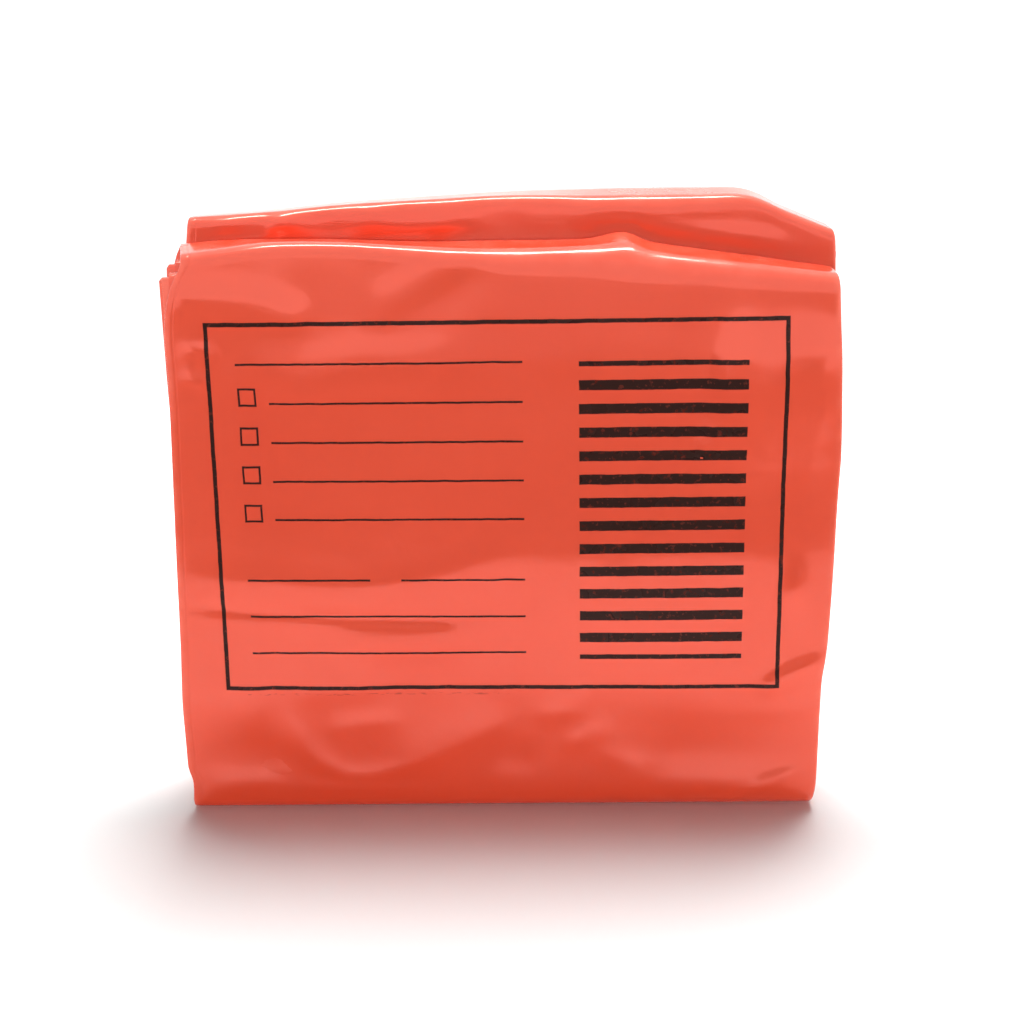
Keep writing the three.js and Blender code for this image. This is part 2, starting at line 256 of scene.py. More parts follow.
# Folds of the front panel. Each is a soft ridge along a line of x and z places, or a trough where its
# height is negative. above and below are its widths on the two sides of the line, and fade is the share of
# it at each end over which it dies away. A crest below 2 makes it sharper along its line.
FACE_FOLDS = fold_table(
    "line above below height fade crest",
    # left fan under the upper edge
    ([(-92, 138.5), (-80, 138), (-66, 137), (-57, 134.5), (-48, 130)], 4, 5.5, 0.85, 0.2, 2),
    # slanted fold to the right of it
    ([(-36, 131), (-27, 138), (-18, 144), (-8, 149)], 5, 4, 0.42, 0.35, 2),
    ([(-17, 133), (-10, 140), (-7, 148)], 5, 5, -0.45, 0.4, 2),
    # swell behind the top of the frame
    ([(-78, 122), (-62, 121), (-50, 118), (-38, 120.5), (-20, 121.5), (-2, 123)], 8, 7, 0.75, 0.2, 2),
    # shoulder in the upper right and small ridges at its edge
    ([(50, 120), (59, 118.5), (66, 114), (73, 116.5), (82, 116), (96, 113.5)], 12, 20, 2.2, 0.22, 2),
    ([(70, 124), (78, 124), (86, 123), (96, 122)], 5, 6, 0.55, 0.3, 2),
    ([(54, 112), (57, 119), (58, 126)], 2.2, 2.2, 0.22, 0.4, 2),
    # small hooks at the left edge
    ([(-84, 125), (-78, 125.5), (-72, 123)], 2.2, 2.2, 0.42, 0.4, 2),
    ([(-84, 119), (-79, 118), (-74, 115.5)], 2, 2, 0.36, 0.4, 2),
    # top of the belly, rising towards the middle
    ([(-90, 66.5), (-70, 66), (-45, 63.5), (-22, 65.5), (-10, 69), (2, 73)], 3.5, 7, 0.3, 0.15, 2),
    # long level crease and the leaf under it
    ([(-88, 58.5), (-60, 57), (-35, 55.4), (-8, 54.6)], 1.9, 1.6, -0.36, 0.15, 2),
    ([(-50, 49), (-28, 48.5), (-2, 51)], 4.6, 5.5, 0.62, 0.35, 2),
    # ridge beside the frame at the right
    ([(72, 63), (77, 62), (82, 63)], 7, 6, 0.9, 0.5, 2),
    # crumple at the right edge
    ([(68, 33), (77, 38.5), (90, 44)], 2.8, 3.4, 0.75, 0.3, 2),
    ([(66, 29.5), (76, 29), (90, 30.5)], 2.4, 2.4, 0.3, 0.3, 2),
    # the low fold: its left arm, foot and long right arm
    ([(-60, 31), (-54, 20), (-47.5, 13.5), (-40, 10.5), (-30, 12), (-21, 15.5), (-8, 22), (6, 30)],
     3, 3.8, 0.85, 0.12, 1.4),
    ([(-32, 16), (-17, 22), (2, 31)], 6, 5, 0.55, 0.3, 1.5),
    # ridges of the leaves inside it
    ([(-49, 23), (-38, 26), (-24, 26.5)], 3.6, 6, 0.9, 0.3, 1.4),
    ([(-58, 33), (-45, 35.8), (-27, 36)], 6.5, 5, 0.75, 0.3, 1.5),
    # ridge and hollows beside it, at the left and the right
    ([(-96, 32), (-76, 31), (-61, 30)], 12, 8, 0.8, 0.2, 2),
    ([(-84, 17), (-68, 15), (-56, 15)], 9, 5.5, -0.5, 0.25, 2),
    ([(38, 19), (60, 17.5), (88, 18)], 9, 7, -0.35, 0.25, 2),
    # lower left corner fold
    ([(-88, 5), (-78, 7.5), (-70, 8.5), (-59, 9.5)], 4.5, 3.5, 0.42, 0.25, 2),
    # hollow and small ridges in the lower middle
    ([(-5, 18), (4, 15.5), (14, 12.5)], 8, 5, -0.75, 0.35, 2),
    ([(9, 26), (17, 29.5), (24, 27.5)], 2.8, 4.2, 0.85, 0.4, 1.5),
    ([(14, 34), (24, 33)], 2.4, 3, 0.45, 0.4, 1.5),
    ([(15, 20), (24, 21.5), (32, 28)], 3.2, 4, 0.85, 0.35, 1.5),
    ([(24, 20), (33, 15), (44, 8)], 6, 5.5, 0.95, 0.35, 1.4),
    # slanted crease at the lower right corner
    ([(56, 0), (66, 4), (74, 8.5), (86, 13.5)], 1.8, 1.8, 0.4, 0.25, 2),
    # level fold above the lower edge
    ([(-60, 7.2), (-40, 6.6), (-16, 6.2)], 1.7, 1.7, 0.36, 0.3, 2),
)

# Folds of the back panel, which the photograph doesn't show
BACK_FOLDS = fold_table(
    "line above below height fade crest",
    ([(-90, 130), (-52, 125), (-12, 130), (34, 142)], 7, 9, 1.1, 0.25, 2),
    ([(92, 120), (62, 109), (36, 104), (12, 90)], 8, 7, 1.0, 0.3, 2),
    ([(-64, 92), (-22, 86), (32, 70)], 9, 8, -0.7, 0.35, 2),
    ([(-92, 60), (-30, 57), (20, 59), (92, 54)], 2.4, 2.4, -0.3, 0.2, 2),
    ([(-86, 42), (-62, 27), (-36, 20), (-8, 31)], 6, 6, 1.1, 0.25, 2),
    ([(16, 22), (46, 35), (92, 38)], 8, 5.5, 1.0, 0.3, 2),
    ([(36, 6), (62, 13), (92, 10)], 5, 5, 0.8, 0.3, 2),
)

# Wrinkles of the back group's visible face, above the front group
VALLEY_FOLDS = fold_table(
    "line above below height fade crest",
    ([(-80, 150), (-76, 156), (-74, 162)], 3.5, 4.5, 0.7, 0.3, 2),
    ([(-66, 150), (-62, 155), (-58, 161)], 3, 4.5, 0.9, 0.3, 2),
    ([(-68, 154.5), (-58, 153.5), (-44, 154.5)], 2.6, 2.4, 0.6, 0.35, 2),
    ([(-44, 150), (-38, 155), (-36, 161)], 3, 4, 0.8, 0.3, 2),
    ([(-40, 154), (-24, 155.5), (-4, 156)], 2.6, 2.6, 0.6, 0.35, 2),
    ([(-22, 150), (-17, 156), (-10, 161)], 3, 3.6, 0.5, 0.3, 2),
    ([(14, 154.5), (24, 158), (38, 157.8), (64, 158)], 2.6, 3, 0.8, 0.3, 2),
    ([(26, 154), (48, 152.5), (82, 148)], 2.4, 2.6, 0.7, 0.3, 2),
)


def look(columns, key, column, at):
    """Smooth values from a table, by the column that it is sorted on."""
    keys = columns[key]
    values = columns[column]
    last = len(keys) - 1
    at = np.clip(np.asarray(at, float), keys[0], keys[-1])
    row = np.clip(np.searchsorted(keys, at, side="left") - 1, 0, last - 1)
    ahead = np.minimum(row + 2, last)
    behind = np.maximum(row - 1, 0)
    before = (values[row + 1] - values[behind]) / (keys[row + 1] - keys[behind])
    after = (values[ahead] - values[row]) / (keys[ahead] - keys[row])
    span = keys[row + 1] - keys[row]
    t = (at - keys[row]) / span
    rise = t * t * (3 - 2 * t)
    start = t * (1 - t) * (1 - t) * before * span
    end = t * t * (1 - t) * after * span
    return values[row] + (values[row + 1] - values[row]) * rise + start - end


def blend(start, end, share):
    """The value at a share of the way from the start to the end."""
    return start + (end - start) * share


def ease(start, end, at):
    """A smooth rise from 0 at the start to 1 at the end."""
    t = np.clip((at - start) / (end - start), 0, 1)
    return t * t * (3 - 2 * t)


def evenly(rows):
    """Shares of a straight for points that lie evenly between its ends."""
    return np.arange(1, rows + 1) / (rows + 1)


def waves(seed, x, z, length, count=7):
    """A smooth uneven field from about -1 to 1: waves of about one length, in all directions."""
    random = np.random.default_rng(SEED * 1000 + seed)
    total = 0
    for _ in range(count):
        angle = random.uniform(0, 2 * math.pi)
        pace = 2 * math.pi / (length * random.uniform(0.7, 1.6))
        shift = random.uniform(0, 2 * math.pi)
        total = total + np.sin(pace * (np.cos(angle) * x + np.sin(angle) * z) + shift)
    return total / math.sqrt(2 * count)


def uneven(kind, x, z, number=0):
    """The small unevenness of one kind at every place."""
    return sum(amount * waves(seed + number, x, z, length) for amount, seed, length in UNEVEN[kind])


def layer_y(layer):
    """The depth of a layer's middle line."""
    depth = (LAYERS - 1) * PITCH + VALLEY
    valley = 0 if layer < FRONT_LAYERS else VALLEY
    return layer * PITCH + valley - depth / 2


def side_edge(columns, side, layer, z):
    """Where a layer's side edge lies at a height, with a small unevenness of its own."""
    entry = next(row for row in ROUTE if row["layer"] == layer)
    group = "front" if layer < FRONT_LAYERS else "rear"
    base = look(columns, "z", "face" if layer == FACE else group, z)
    shift = -entry["left"] if side == "left" else entry["right"]
    kind = "outer" if layer in (FACE, BACK) else "inner"
    return base + shift + uneven(f"{kind} {side}", z, 0, layer)


def smooth_line(points):
    """A smooth line through a few places, as closely spaced places."""
    x, z = np.array(points, float).T
    columns = {"stop": np.arange(len(points)), "x": x, "z": z}
    stops = np.linspace(0, len(points) - 1, (len(points) - 1) * LINE_STEPS + 1)
    return look(columns, "stop", "x", stops), look(columns, "stop", "z", stops)


def fold_height(fold, x, z):
    """Height of one fold at every place, by the nearest point of its line."""
    line_x, line_z = smooth_line(fold["line"])
    nearest = np.full(np.broadcast(x, z).shape, np.inf)
    side = np.ones(nearest.shape)
    share = np.zeros(nearest.shape)
    last = len(line_x) - 1
    for step in range(last):
        run_x = line_x[step + 1] - line_x[step]
        run_z = line_z[step + 1] - line_z[step]
        off_x = x - line_x[step]
        off_z = z - line_z[step]
        t = np.clip((off_x * run_x + off_z * run_z) / (run_x ** 2 + run_z ** 2), 0, 1)
        distance = np.hypot(off_x - t * run_x, off_z - t * run_z)
        closer = distance < nearest
        nearest = np.where(closer, distance, nearest)
        side = np.where(closer, np.sign(run_x * off_z - run_z * off_x), side)
        share = np.where(closer, (step + t) / last, share)
    width = np.where(side > 0, fold["above"], fold["below"])
    fade = ease(0, fold["fade"], share) * ease(0, fold["fade"], 1 - share)
    return fold["height"] * fade * np.exp(-((nearest / width) ** fold["crest"]))


def across_rolls(x, z):
    """The front panel's broad rolls, between their four places along its width."""
    swell, *others = (look(FACE_ROLLS, "z", name, z) for name in ("left", "fold", "middle", "right"))
    for start, end, following in zip(ROLL_PLACES, ROLL_PLACES[1:], others):
        swell = blend(swell, following, ease(start, end, x))
    return swell


def face_swell(x, z):
    """How far the front panel stands forward of its flat. The last step keeps it from going behind."""
    across = np.maximum(1 - np.abs(x / HALF_WIDTH) ** 6, 0)
    rolls = (EDGE_ROLL + (1 - EDGE_ROLL) * across) * across_rolls(x, z)
    swell = rolls + across * uneven("face", x, z)
    for fold in FACE_FOLDS:
        swell = swell + fold_height(fold, x, z)
    return np.log1p(np.exp(SOFT_FLOOR * swell)) / SOFT_FLOOR


def back_swell(x, z):
    """How far the back panel stands backward of its flat."""
    across = np.maximum(1 - (x / HALF_WIDTH) ** 4, 0)
    up = np.maximum(1 - np.abs((z - BACK_MIDDLE) / BACK_REACH) ** 4, 0)
    roll = 0.75 + 0.25 * np.sin(x / 27 + z / 34)
    swell = BACK_SWELL * roll * across * up + uneven("back", x, z) * across * up
    for fold in BACK_FOLDS:
        swell = swell + fold_height(fold, x, z) * up
    return np.maximum(swell, 0)


def valley_swell(x, z):
    """How far the back group's face stands forward where it shows above the front group."""
    clear = z - look(TOPS, "x", "shoulder", x) - VALLEY_CLEAR
    swell = VALLEY_SWELL + uneven("valley", x, z)
    for fold in VALLEY_FOLDS:
        swell = swell + fold_height(fold, x, z)
    return np.maximum(swell, 0) * np.clip(clear / VALLEY_RISE, 0, 1)


def wander(x, z):
    """How far the whole stack of layers lies forward or back of true at one place."""
    bow = -BOW * (1 - (x / HALF_WIDTH) ** 2) * np.minimum(z / BOW_FROM, 1)
    return bow + SWAY * np.sin(z / 26 + 0.6) * np.cos(x / 55 + 0.4)


def line_point(y, z, out_y, out_z, first, second, share):
    """A point of the strip's middle line, for all columns at once: its place, the way its outer side
    faces, the two layers that it lies between, and its share of the second one."""
    return {"y": y, "z": z, "out_y": out_y, "out_z": out_z, "first": first, "second": second, "share": share}


def round_corner(before, corner, after, first, second, shares):
    """A rounded corner between two straights, with the strip's outer side on the right of its way."""
    points = []
    for step in range(CORNER_STEPS + 1):
        t = step / CORNER_STEPS
        s = 1 - t
        y, z = (s * s * before[i] + 2 * s * t * corner[i] + t * t * after[i] for i in (0, 1))
        way_y, way_z = (s * (corner[i] - before[i]) + t * (after[i] - corner[i]) for i in (0, 1))
        length = np.hypot(way_y, way_z)
        share = blend(shares[0], shares[1], t)
        points.append(line_point(y, z, way_z / length, -way_y / length, first, second, share))
    return points


def between(start, end, rows):
    """Points on the straight from one point to another, with what changes along it."""
    points = []
    for t in evenly(rows):
        point = dict(start)
        for name in ("y", "z", "out_y", "out_z", "share"):
            point[name] = blend(start[name], end[name], t)
        points.append(point)
    return points


def group_top(x, layer, y):
    """Height of the outer surface at one depth of a group's top, by one of the group's layers."""
    front = layer < FRONT_LAYERS
    low = look(TOPS, "x", "crease" if front else "back_crease", x)
    high = look(TOPS, "x", "shoulder" if front else "back_top", x)
    start = layer_y(FACE if front else FRONT_LAYERS)
    end = layer_y(FRONT_LAYERS - 1 if front else BACK)
    return blend(low, high, (y - start) / (end - start))


def over_the_top(x, front, back, reach_front, reach_back):
    """A group's top, where the strip goes over it from its rear side to its front side."""
    y_front = layer_y(front)
    y_back = layer_y(back)
    z_front = group_top(x, front, y_front) - LAYER / 2
    z_back = group_top(x, front, y_back) - LAYER / 2
    run = np.hypot(y_back - y_front, z_back - z_front)
    along_y = (y_front - y_back) / run
    along_z = (z_front - z_back) / run
    back_corner = round_corner(
        (y_back, z_back - reach_back),
        (y_back, z_back),
        (y_back + along_y * reach_back, z_back + along_z * reach_back),
        back,
        front,
        (0, CORNER_SHARE),
    )
    front_corner = round_corner(
        (y_front - along_y * reach_front, z_front - along_z * reach_front),
        (y_front, z_front),
        (y_front, z_front - reach_front),
        back,
        front,
        (1 - CORNER_SHARE, 1),
    )
    return [*back_corner, *between(back_corner[-1], front_corner[0], TOP_ROWS), *front_corner]


def under_the_bottom(x):
    """The pack's underside, where the strip passes from the face to the back along the ground."""
    z = LAYER / 2
    y_front = layer_y(FACE)
    y_back = layer_y(BACK)
    reach = look(LOWER_TURN, "x", "reach", x)
    front_corner = round_corner(
        (y_front, z + reach),
        (y_front, z),
        (y_front + reach, z),
        FACE,
        BACK,
        (0, CORNER_SHARE),
    )
    back_corner = round_corner(
        (y_back - UNDER_REAR, z),
        (y_back, z),
        (y_back, z + UNDER_REAR),
        FACE,
        BACK,
        (1 - CORNER_SHARE, 1),
    )
    return [*front_corner, *between(front_corner[-1], back_corner[0], UNDER_ROWS), *back_corner]


def half_turn(first, second, extreme, up):
    """The half turn between two neighbouring layers. up is 1 at the pack's top and -1 at its bottom."""
    y_first = layer_y(first)
    y_second = layer_y(second)
    middle = (y_first + y_second) / 2
    radius = abs(y_second - y_first) / 2
    centre = extreme - up * (LAYER / 2 + radius)
    side = np.sign(y_second - y_first)
    outer = side * up
    points = []
    for step in range(FOLD_STEPS + 1):
        share = step / FOLD_STEPS
        angle = math.pi * step / FOLD_STEPS
        away_y = -side * math.cos(angle)
        away_z = up * math.sin(angle)
        y = middle + radius * away_y
        z = centre + radius * away_z
        points.append(line_point(y, z, -outer * away_y, -outer * away_z, first, second, share))
    return points


def turn_after(index, x):
    """The turn that follows an entry of the route: at the top after an even one, else at the bottom."""
    entry = ROUTE[index]
    layer = entry["layer"]
    if layer == FRONT_LAYERS - 1:
        return over_the_top(x, FACE, layer, look(TOPS, "x", "face_reach", x), FRONT_TOP_REAR)
    if layer == FACE:
        return under_the_bottom(x)
    if layer == BACK:
        return over_the_top(x, FRONT_LAYERS, BACK, BACK_TOP_FRONT, BACK_TOP_REAR)
    following = ROUTE[index + 1]["layer"]
    wave = uneven("turn", x, 0, index)
    if index % 2 == 1:
        return half_turn(layer, following, entry["low"] + wave, -1)
    middle = (layer_y(layer) + layer_y(following)) / 2
    return half_turn(layer, following, group_top(x, layer, middle) - entry["under"] + wave, 1)


def spread(layer):
    """The places of a layer's rows of points, as shares of its straight."""
    if layer == FACE:
        return evenly(FACE_ROWS)
    if layer == BACK:
        return evenly(BACK_ROWS)
    if layer not in (FRONT_LAYERS - 1, FRONT_LAYERS):
        return evenly(INNER_ROWS)
    shows = TOP_BAND * np.arange(1, TOP_BAND_ROWS + 1) / TOP_BAND_ROWS
    hidden = TOP_BAND + (1 - TOP_BAND) * evenly(VALLEY_ROWS)
    from_top = np.concatenate([shows, hidden])
    return from_top if layer == FRONT_LAYERS else (1 - from_top)[::-1]


def straight(start, end, shares):
    """The points of a layer between two of its turns."""
    points = []
    for share in shares:
        point = dict(end)
        point["z"] = blend(start["z"], end["z"], share)
        points.append(point)
    return points


def cut_end(entry, x, out_y):
    """The end of the strip, at the bottom of the layer that it lies in."""
    layer = entry["layer"]
    low = entry["low"] + uneven("cut end", x, 0, layer)
    return line_point(layer_y(layer), low, out_y, 0.0, layer, layer, 0.0)


def section(x):
    """The strip's middle line, from one cut end to the other, for every column at once."""
    points = [cut_end(ROUTE[0], x, 1.0)]
    for index, entry in enumerate(ROUTE):
        turn = [cut_end(entry, x, -1.0)] if entry is ROUTE[-1] else turn_after(index, x)
        points = [*points, *straight(points[-1], turn[0], spread(entry["layer"])), *turn]
    return points


def belongs(point, layer):
    """How much a point belongs to one layer: 1 along its straight, falling to 0 in the corner at its end."""
    here = 0
    if point["first"] == layer:
        here = here + 1 - point["share"]
    if point["second"] == layer:
        here = here + point["share"]
    return np.maximum(1 - (1 - here) / CORNER_SHARE, 0)


def side_fold(columns, at, centre, radius, side, steps, downward):
    """The columns of a fold along the strip's side edge, from one ply round to the next."""
    for step in range(1, steps + 1):
        angle = math.pi * step / (steps + 1)
        turn = math.cos(angle) if downward else -math.cos(angle)
        columns.append((at, side * radius * math.sin(angle), centre + radius * turn))


def film_columns():
    """The film's columns from one free edge through its plies to the other: share of the width, step
    outward in the width and distance from the layer's middle line."""
    width = 2 * HALF_WIDTH
    left_free = LEFT_FREE / width
    left_fold = LEFT_FOLD / width
    right_fold = 1 - RIGHT_FOLD / width
    right_wrap = 1 - RIGHT_WRAP / width
    columns = [(share, 0, THIRD_PLY) for share in np.linspace(left_free, right_fold, PLY_COLUMNS)]
    side_fold(columns, right_fold, 0, SECOND_PLY, 1, SIDE_FOLD_STEPS, False)
    columns += [(share, 0, SECOND_PLY) for share in np.linspace(right_fold, left_fold, PLY_COLUMNS)]
    middle = (SECOND_PLY + OUTER_PLY) / 2
    side_fold(columns, left_fold, middle, (OUTER_PLY - SECOND_PLY) / 2, -1, SIDE_FOLD_STEPS, False)
    even = np.linspace(0, 1, OUTER_COLUMNS)
    closer = even - CLOSER * np.sin(2 * math.pi * even) / (2 * math.pi)
    columns += [(blend(left_fold, right_wrap, t), 0, OUTER_PLY) for t in closer]
    side_fold(columns, right_wrap, 0, OUTER_PLY, 1, WRAP_STEPS, True)
    columns += [(share, 0, INNER_PLY) for share in np.linspace(right_wrap, left_free, PLY_COLUMNS)]
    return np.array(columns).T


def in_sight(point, off):
    """How much of the film shows at a point, for each column."""
    seen = SIGHT_LEAST
    for layer, weight in SIGHT.items():
        seen = seen + weight * belongs(point, layer)
    return seen * np.where(off > SIGHT_FROM, 1, SIGHT_HIDDEN)


def film_surface():
    """The film's middle surface as a grid of rows and columns, and facts about each of its points:
    print may lie there, it is worn, how far from the left edge it lies, and how much of it shows."""
    share, step, off = film_columns()
    x = blend(-HALF_WIDTH, HALF_WIDTH, share)
    points = section(x)
    places = np.zeros((len(points), len(share), 3))
    facts = {name: np.zeros((len(points), len(share))) for name in ("front", "worn", "from_left", "shown")}
    follows = 0.8 + 0.2 * (off - INNER_PLY) / (OUTER_PLY - INNER_PLY)
    for row, point in enumerate(points):
        z = point["z"] + 0 * x
        edge = {}
        for side, columns in (("left", LEFT_EDGE), ("right", RIGHT_EDGE)):
            first = side_edge(columns, side, point["first"], z)
            second = side_edge(columns, side, point["second"], z)
            edge[side] = blend(first, second, point["share"])
        face = belongs(point, FACE) * follows
        back = belongs(point, BACK) * follows
        valley = belongs(point, FRONT_LAYERS) * follows
        y = point["y"] + wander(x, z)
        y = y - face_swell(x, z) * face - valley_swell(x, z) * valley
        y = y + back_swell(x, z) * back
        if point["first"] not in (FACE, BACK) and point["first"] == point["second"]:
            y = y + uneven("layer", x, z, point["first"])
        across = blend(edge["left"], edge["right"], share) + step
        places[row, :, 0] = across - MIDDLE_X
        places[row, :, 1] = y - MIDDLE_Y + off * point["out_y"]
        places[row, :, 2] = z + off * point["out_z"]
        from_side = np.minimum(across - edge["left"], edge["right"] - across)
        near_side = np.exp(-(from_side / WORN_REACH) ** 2)
        turning = math.sin(math.pi * float(np.mean(point["share"])))
        facts["front"][row] = belongs(point, FACE) * (off > PRINT_FROM)
        facts["worn"][row] = np.clip(near_side + turning, 0, 1)
        facts["from_left"][row] = across - edge["left"]
        facts["shown"][row] = in_sight(point, off)
    return places, facts


def grid_normals(places):
    """The way that the film faces at every point of the grid, by the differences of its neighbours."""
    down = np.gradient(places, axis=0)
    over = np.gradient(places, axis=1)
    normals = np.cross(down, over)
    return normals / np.linalg.norm(normals, axis=2, keepdims=True)


def film_faces(rows, columns):
    """Quads of the closed film: its two sides, and the four narrow rims that join them."""
    def at(side, row, column):
        return side * rows * columns + row * columns + column

    faces = []
    for row in range(rows - 1):
        for column in range(columns - 1):
            corners = ((row, column), (row + 1, column), (row + 1, column + 1), (row, column + 1))
            faces.append([at(0, *corner) for corner in corners])
            faces.append([at(1, *corner) for corner in reversed(corners)])
    for row in range(rows - 1):
        end = columns - 1
        faces.append((at(0, row, 0), at(1, row, 0), at(1, row + 1, 0), at(0, row + 1, 0)))
        faces.append((at(0, row + 1, end), at(1, row + 1, end), at(1, row, end), at(0, row, end)))
    for column in range(columns - 1):
        end = rows - 1
        after = column + 1
        faces.append((at(0, 0, after), at(1, 0, after), at(1, 0, column), at(0, 0, column)))
        faces.append((at(0, end, column), at(1, end, column), at(1, end, after), at(0, end, after)))
    return faces


def flat_size(places):
    """The film's width and length once unfolded, in metres."""
    across = np.linalg.norm(np.diff(places, axis=1), axis=2).sum(axis=1)
    along = np.linalg.norm(np.diff(places, axis=0), axis=2).sum(axis=0)
    return float(across.mean()) * MM, float(along.mean()) * MM


def running(places, axis, weights):
    """Steps from 0 to 1 along the rows or the columns, by the film's length there and its weight."""
    steps = np.linalg.norm(np.diff(places, axis=axis), axis=2).mean(axis=1 - axis)
    steps = steps * (weights[1:] + weights[:-1]) / 2
    return np.concatenate([[0], np.cumsum(steps) / steps.sum()])


def bake_map(mesh, places, shown):
    """A map for baking: each face has a place of its own, and the panels that show have the most room."""
    rows, columns, _ = places.shape
    index = np.zeros(len(mesh.loops), dtype=np.int32)
    mesh.loops.foreach_get("vertex_index", index)
    side, rest = np.divmod(index, rows * columns)
    row, column = np.divmod(rest, columns)
    across = running(places, 1, shown.mean(axis=0))[column]
    u = np.where(side == 0, blend(*MAP_OUTER, across), blend(*MAP_INNER, across))
    v = blend(*MAP_ALONG, running(places, 0, shown.mean(axis=1)))[row]
    side_rims = 8 * (rows - 1) * (columns - 1)
    end_rims = side_rims + 8 * (rows - 1)
    beside = MAP_RIM + MAP_RIM_STEP * (column > 0) + MAP_RIM_WIDTH * side
    above = MAP_RIM + MAP_RIM_STEP * (row > 0) + MAP_RIM_WIDTH * side
    u[side_rims:end_rims] = beside[side_rims:end_rims]
    u[end_rims:] = blend(*MAP_OUTER, across)[end_rims:]
    v[end_rims:] = above[end_rims:]
    mesh.uv_layers.new(name="OFBake").data.foreach_set("uv", np.stack([u, v], axis=1).ravel())


def add_object(name, data):
    """A new object in the scene."""
    thing = bpy.data.objects.new(name, data)
    bpy.context.scene.collection.objects.link(thing)
    return thing


def make_film():
    """The blanket as one closed thin mesh, and its flat size."""
    places, facts = film_surface()
    shown = facts.pop("shown")
    half = grid_normals(places) * FILM / 2
    rows, columns, _ = places.shape
    sides = np.concatenate([(places + half).reshape(-1, 3), (places - half).reshape(-1, 3)])
    mesh = bpy.data.meshes.new("blanket_film")
    mesh.from_pydata((sides * MM).tolist(), [], film_faces(rows, columns))
    facts["from_left"] *= MM
    for name, outer in facts.items():
        inner = 0 * outer if name == "front" else outer
        values = np.concatenate([outer.ravel(), inner.ravel()])
        mesh.attributes.new(name, "FLOAT", "POINT").data.foreach_set("value", values)
    bake_map(mesh, places, shown)
    mesh.shade_smooth()
    mesh.set_sharp_from_angle(angle=math.radians(SHARP_ANGLE))
    return add_object("blanket_film", mesh), flat_size(places)


# The printed panel on the face, in the pack's own places. Its frame is a plain ruled rectangle, and the
# blank form inside it holds only rules, tick boxes and a block of even stripes. Each rectangle is its
# left, right, low and high side.
FRAME = (-73.1, 71.5, 36.2, 131.9)
FRAME_LINE = 1.1
RULE_LINE = 0.55
RULES = (
    (-66, 6, 122),
    (-58, 6, 112),
    (-58, 6, 102),
    (-58, 6, 92),
    (-58, 6, 82),
    (-66, -34, 66),
    (-26, 6, 66),
    (-66, 6, 56),
    (-66, 6, 46),
)
TICK_BOXES = ((-63.5, 113.7), (-63.5, 103.7), (-63.5, 93.7), (-63.5, 83.7))
TICK_BOX = 4.2
STRIPES = (20, 62, 44, 122)
STRIPE_PITCH = 6.0
STRIPE_LINE = 2.6
SMEAR = (-68, 4, 34.15, 34.65)
SMEAR_TONE = 0.45
INK_EDGE = 0.1  # half the width of the soft edge of all print
INK_SHAKE = 0.35  # how far that edge wanders

# Colours, as linear red, green and blue
FILM_MIDDLE = (0.72, 0.063, 0.021, 1)
FILM_DEEP = (0.70, 0.058, 0.018, 1)
FILM_BRIGHT = (0.74, 0.068, 0.024, 1)
FILM_WORN = (0.90, 0.19, 0.12, 1)
INK = (0.020, 0.009, 0.007, 1)
FLOOR = (0.90, 0.90, 0.895, 1)
WHITE = (1, 1, 1, 1)

# How the film is finished
GLOSS = (0.14, 0.18)
WORN_TONE = 0.42
WORN_GLOSS = 0.08  # how much duller it is where it is worn
INK_GLOSS = 0.12  # and under the ink
INK_HIDES = 0.85  # share of the sheen that the ink takes away
METALLIC = 0.23
SHEEN = 0.6
COAT = 0.5
COAT_GLOSS = 0.12
BUMP_STRENGTH = 0.35
BUMP_DEPTH = 0.0004
SEAM_TONE = 0.30
SEAM_DEPTH = -0.35
FINE_BUMPS = 0.04


class Tree:
    """Short ways to add nodes to a material."""

    def __init__(self, material):
        self.tree = material.node_tree
        self.tree.nodes.clear()

    def add(self, kind, **settings):
        node = self.tree.nodes.new(kind)
        for name, value in settings.items():
            setattr(node, name, value)
        return node

    def set(self, socket, value):
        if isinstance(value, bpy.types.NodeSocket):
            self.tree.links.new(value, socket)
        elif value is not None:
            socket.default_value = value

    def set_all(self, node, values):
        for name, value in values.items():
            self.set(node.inputs[name], value)

    def math(self, operation, first, second=None, third=None):
        node = self.add("ShaderNodeMath", operation=operation)
        for socket, value in zip(node.inputs, (first, second, third)):
            self.set(socket, value)
        return node.outputs[0]

    def ramp(self, value, low, high, start=0.0, end=1.0):
        node = self.add("ShaderNodeMapRange", interpolation_type="SMOOTHSTEP")
        for socket, item in zip(node.inputs, (value, low, high, start, end)):
            self.set(socket, item)
        return node.outputs[0]

    def mix(self, share, first, second):
        node = self.add("ShaderNodeMix", data_type="RGBA")
        for place, value in ((0, share), (6, first), (7, second)):
            self.set(node.inputs[place], value)
        return node.outputs[2]

    def noise(self, place, scale, detail=2.0, roughness=0.5, distortion=0.0):
        node = self.add("ShaderNodeTexNoise")
        self.set_all(node, {
            "Vector": place,
            "Scale": scale,
            "Detail": detail,
            "Roughness": roughness,
            "Distortion": distortion,
        })
        return node.outputs["Fac"]

    def stretched(self, place, scale):
        node = self.add("ShaderNodeMapping")
        self.set_all(node, {"Vector": place, "Scale": scale})
        return node.outputs["Vector"]

    def apart(self, place):
        node = self.add("ShaderNodeSeparateXYZ")
        self.set(node.inputs[0], place)
        return node.outputs

    def attribute(self, name):
        return self.add("ShaderNodeAttribute", attribute_name=name).outputs["Fac"]

    def shade(self, shader):
        self.set(self.add("ShaderNodeOutputMaterial").inputs["Surface"], shader.outputs[0])


def new_material(name):
    """An empty material and its tree."""
    material = bpy.data.materials.new(name)
    material.use_nodes = True
    return material, Tree(material)


